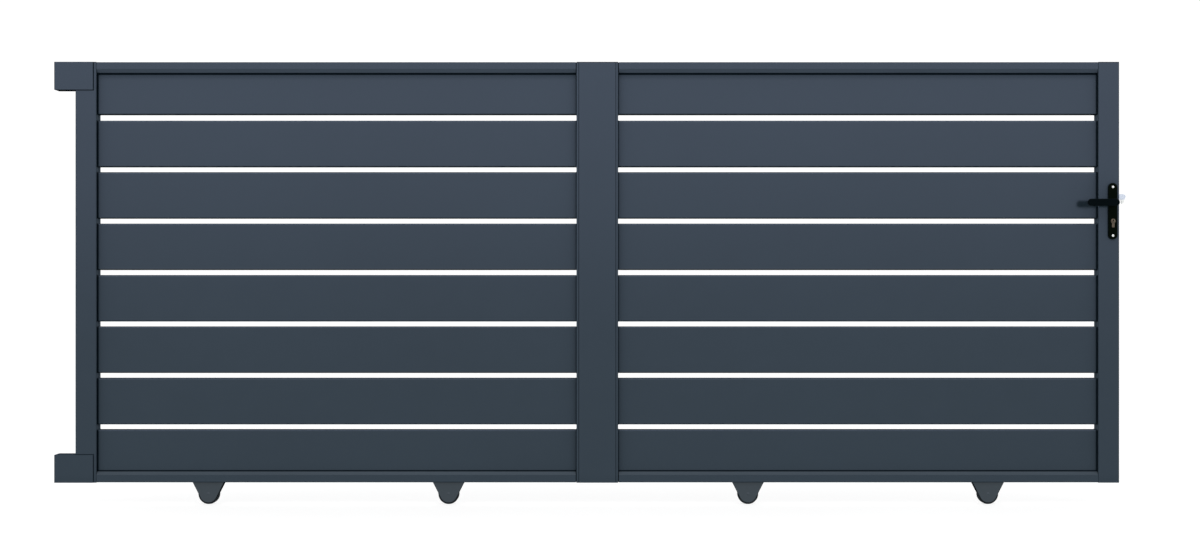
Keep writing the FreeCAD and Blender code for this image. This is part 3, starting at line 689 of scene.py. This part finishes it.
WHEEL_X = [(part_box("wheel_%d" % k)[0].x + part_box("wheel_%d" % k)[1].x) / 2
           for k in range(1, 5)]
OUTLINE = carrier_outline()
bm = bmesh.new()
for x in WHEEL_X:
    plate(bm, x, OUTLINE, -SIDE_OUT, -SIDE_IN, 0.0010)
    plate(bm, x, OUTLINE, SIDE_OUT, SIDE_IN, 0.0010)
    # the webs between the plates take the near-black colour: painted shade
    for sgn in (-1, 1):
        xs = sorted((x + sgn * 0.0220, x + sgn * (CAR_HALF - 0.0008)))
        before = len(bm.faces)
        block(bm, (xs[0], 0.00005 - SIDE_IN, WEB_LOW), (xs[1], SIDE_IN - 0.00005, CAR_HI.z))
        bm.faces.ensure_lookup_table()
        for f in bm.faces[before:]:
            f.material_index = 2
carriers = make("wheel_carriers", bm, M_CARRIER, "leaf", 25.0)
carriers.data.materials.append(M_CARRIER_RIM_SHADE)
carriers.data.materials.append(M_DEEP_SHADE)
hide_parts("wheel_bracket_1", "wheel_bracket_2", "wheel_bracket_3",
            "wheel_bracket_4")

# painted-over axles with riveted ends
bm = bmesh.new()
for x in WHEEL_X:
    end = SIDE_OUT + 0.0004
    lathe(bm, [(0.0, -end), (0.0042, -end), (0.0050, -SIDE_OUT), (0.0050, SIDE_OUT),
               (0.0042, end), (0.0, end)], 40, facing((x, 0.0, WHEEL_Z), (0, 1, 0)))
axles = make("wheel_axle_pins", bm, M_CARRIER, "leaf")
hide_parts("wheel_axles")

# bolts that hold the carriers up to the bottom rail, heads under the web
bm = bmesh.new()
for x in WHEEL_X:
    for sgn in (-1, 1):
        at = facing((x + sgn * 0.0400, 0.0, WEB_LOW), (0, 0, -1))
        lathe(bm, [(0.0, 0.0), (0.0080, 0.0), (0.0080, 0.0013), (0.0077, 0.0016),
                   (0.0, 0.0016)], 40, at)
        hexa = [(0.0075 * math.cos(math.pi / 3 * i), 0.0075 * math.sin(math.pi / 3 * i))
                for i in range(6)]
        prism(bm, hexa, 0.0016, 0.0062, at)
        lathe(bm, [(0.0, 0.0062), (0.0064, 0.0062), (0.0060, 0.0068), (0.0, 0.0069)], 36, at)
make("carrier_bolts", bm, M_STEEL, "leaf", 30.0)

# ------------------------------------------------ dark beads round the end stops: painted shade along their edges
bm = bmesh.new()
for name, low_edge in (("upper_stop", True), ("lower_stop", False)):
    slo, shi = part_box(name)
    for sgn in (-1, 1):
        face = sgn * LEAF_FACE
        y0, y1 = sorted((face, face + sgn * 0.0016))
        zb = (slo.z - 0.0024, slo.z) if low_edge else (shi.z, shi.z + 0.0018)
        z0 = min(slo.z, zb[0]) if low_edge else slo.z
        z1 = shi.z if low_edge else max(shi.z, zb[1])
        z1 = min(z1, 1.5112)
        # upright run beside the sleeve, then the run along its free edge
        ends = [(shi.x, z0), (shi.x + 0.0013, z0), (shi.x + 0.0013, z1), (shi.x, z1)]
        m = Matrix(((1, 0, 0, 0), (0, 0, 1, 0), (0, 1, 0, 0), (0, 0, 0, 1)))
        prism(bm, ends, y0, y1, m)
        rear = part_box("rear_stile")[0].x + 0.0015
        run = [(rear, zb[0]), (shi.x, zb[0]), (shi.x, zb[1]), (rear, zb[1])]
        prism(bm, run, y0, y1, m)
make("stop_edge_shade_beads", bm, M_TRIM, "leaf")

# ------------------------------------------------------- floor, light, camera
floor_z = cad_box[0][2] - 0.0002


def floor_material():
    m, nt, bsdf, co = new_material("pale_floor")
    soft = noise(nt, co, 1.3, 2.0)
    nt.links.new(two_tone(nt, spread(nt, soft, 0.0, 1.0), (0.290, 0.290, 0.290),
                          (0.310, 0.310, 0.310)), bsdf.inputs["Base Color"])
    nt.links.new(spread(nt, soft, 0.75, 0.85), bsdf.inputs["Roughness"])
    bsdf.inputs["IOR"].default_value = 1.05
    bsdf.inputs["Emission Color"].default_value = (1.0, 1.0, 1.0, 1.0)
    bsdf.inputs["Emission Strength"].default_value = 0.750
    return m


bm = bmesh.new()
bmesh.ops.create_grid(bm, x_segments=8, y_segments=8, size=120.0)
me = bpy.data.meshes.new("floor")
bm.to_mesh(me)
bm.free()
floor = bpy.data.objects.new("floor", me)
scene.collection.objects.link(floor)
floor.location = (0.0, 0.0, floor_z)
me.materials.append(floor_material())
floor.visible_diffuse = False
floor.visible_glossy = False

world = bpy.data.worlds.new("studio")
scene.world = world
world.use_nodes = True
wt = world.node_tree
for n in list(wt.nodes):
    wt.nodes.remove(n)
w_out = wt.nodes.new("ShaderNodeOutputWorld")
w_bg = wt.nodes.new("ShaderNodeBackground")
w_co = wt.nodes.new("ShaderNodeTexCoord")
w_sep = wt.nodes.new("ShaderNodeSeparateXYZ")
w_map = wt.nodes.new("ShaderNodeMapRange")
w_ramp = wt.nodes.new("ShaderNodeValToRGB")
wt.links.new(w_co.outputs["Generated"], w_sep.inputs["Vector"])
w_map.inputs["From Min"].default_value = -1.0
w_map.inputs["From Max"].default_value = 1.0
wt.links.new(w_sep.outputs["Z"], w_map.inputs["Value"])
wt.links.new(w_map.outputs["Result"], w_ramp.inputs["Fac"])
LOWER = (0.595, 0.637, 0.590)
stops = [(0.0, (0.68, 0.73, 0.73)), (0.413, LOWER), (0.480, LOWER),
         (0.507, (0.69, 0.71, 0.69)), (0.524, (1.02, 1.02, 1.02)), (1.0, (0.95, 0.95, 0.95))]
els = w_ramp.color_ramp.elements
while len(els) > 1:
    els.remove(els[-1])
els[0].position, els[0].color = stops[0][0], (*stops[0][1], 1.0)
for pos, val in stops[1:]:
    e = els.new(pos)
    e.color = (*val, 1.0)
wt.links.new(w_ramp.outputs["Color"], w_bg.inputs["Color"])
w_bg.inputs["Strength"].default_value = 1.0
# plain white backdrop behind the graded light
w_path = wt.nodes.new("ShaderNodeLightPath")
w_white = wt.nodes.new("ShaderNodeBackground")
w_white.inputs["Color"].default_value = (1.0, 1.0, 1.0, 1.0)
w_white.inputs["Strength"].default_value = 1.05
w_mix = wt.nodes.new("ShaderNodeMixShader")
wt.links.new(w_path.outputs["Is Camera Ray"], w_mix.inputs["Fac"])
wt.links.new(w_bg.outputs["Background"], w_mix.inputs[1])
wt.links.new(w_white.outputs["Background"], w_mix.inputs[2])
wt.links.new(w_mix.outputs["Shader"], w_out.inputs["Surface"])


def softbox(name, at, aim, wide, high, power):
    ld = bpy.data.lights.new(name, "AREA")
    ld.shape = "RECTANGLE"
    ld.size, ld.size_y = wide, high
    ld.energy = power
    lo_ = bpy.data.objects.new(name, ld)
    scene.collection.objects.link(lo_)
    lo_.location = at
    lo_.rotation_euler = (Vector(aim) - Vector(at)).to_track_quat("-Z", "Y").to_euler()
    lo_.visible_camera = False
    return lo_


softbox("front_softbox", (0.0, -3.0, 3.1), (0.0, 0.0, 1.2), 9.0, 1.4, 70.0)
softbox("back_softbox", (0.0, 3.4, 3.1), (0.0, 0.0, 0.9), 9.0, 1.4, 50.0)

cam_data = bpy.data.cameras.new("camera")
cam_data.sensor_width = 36.0
cam_data.lens = 58.4
cam_data.clip_end = 400.0
cam = bpy.data.objects.new("camera", cam_data)
scene.collection.objects.link(cam)
cam.location = (0.0097, -7.032, 0.7416)
cam.rotation_euler = (math.pi / 2, 0.0, 0.0)
scene.camera = cam
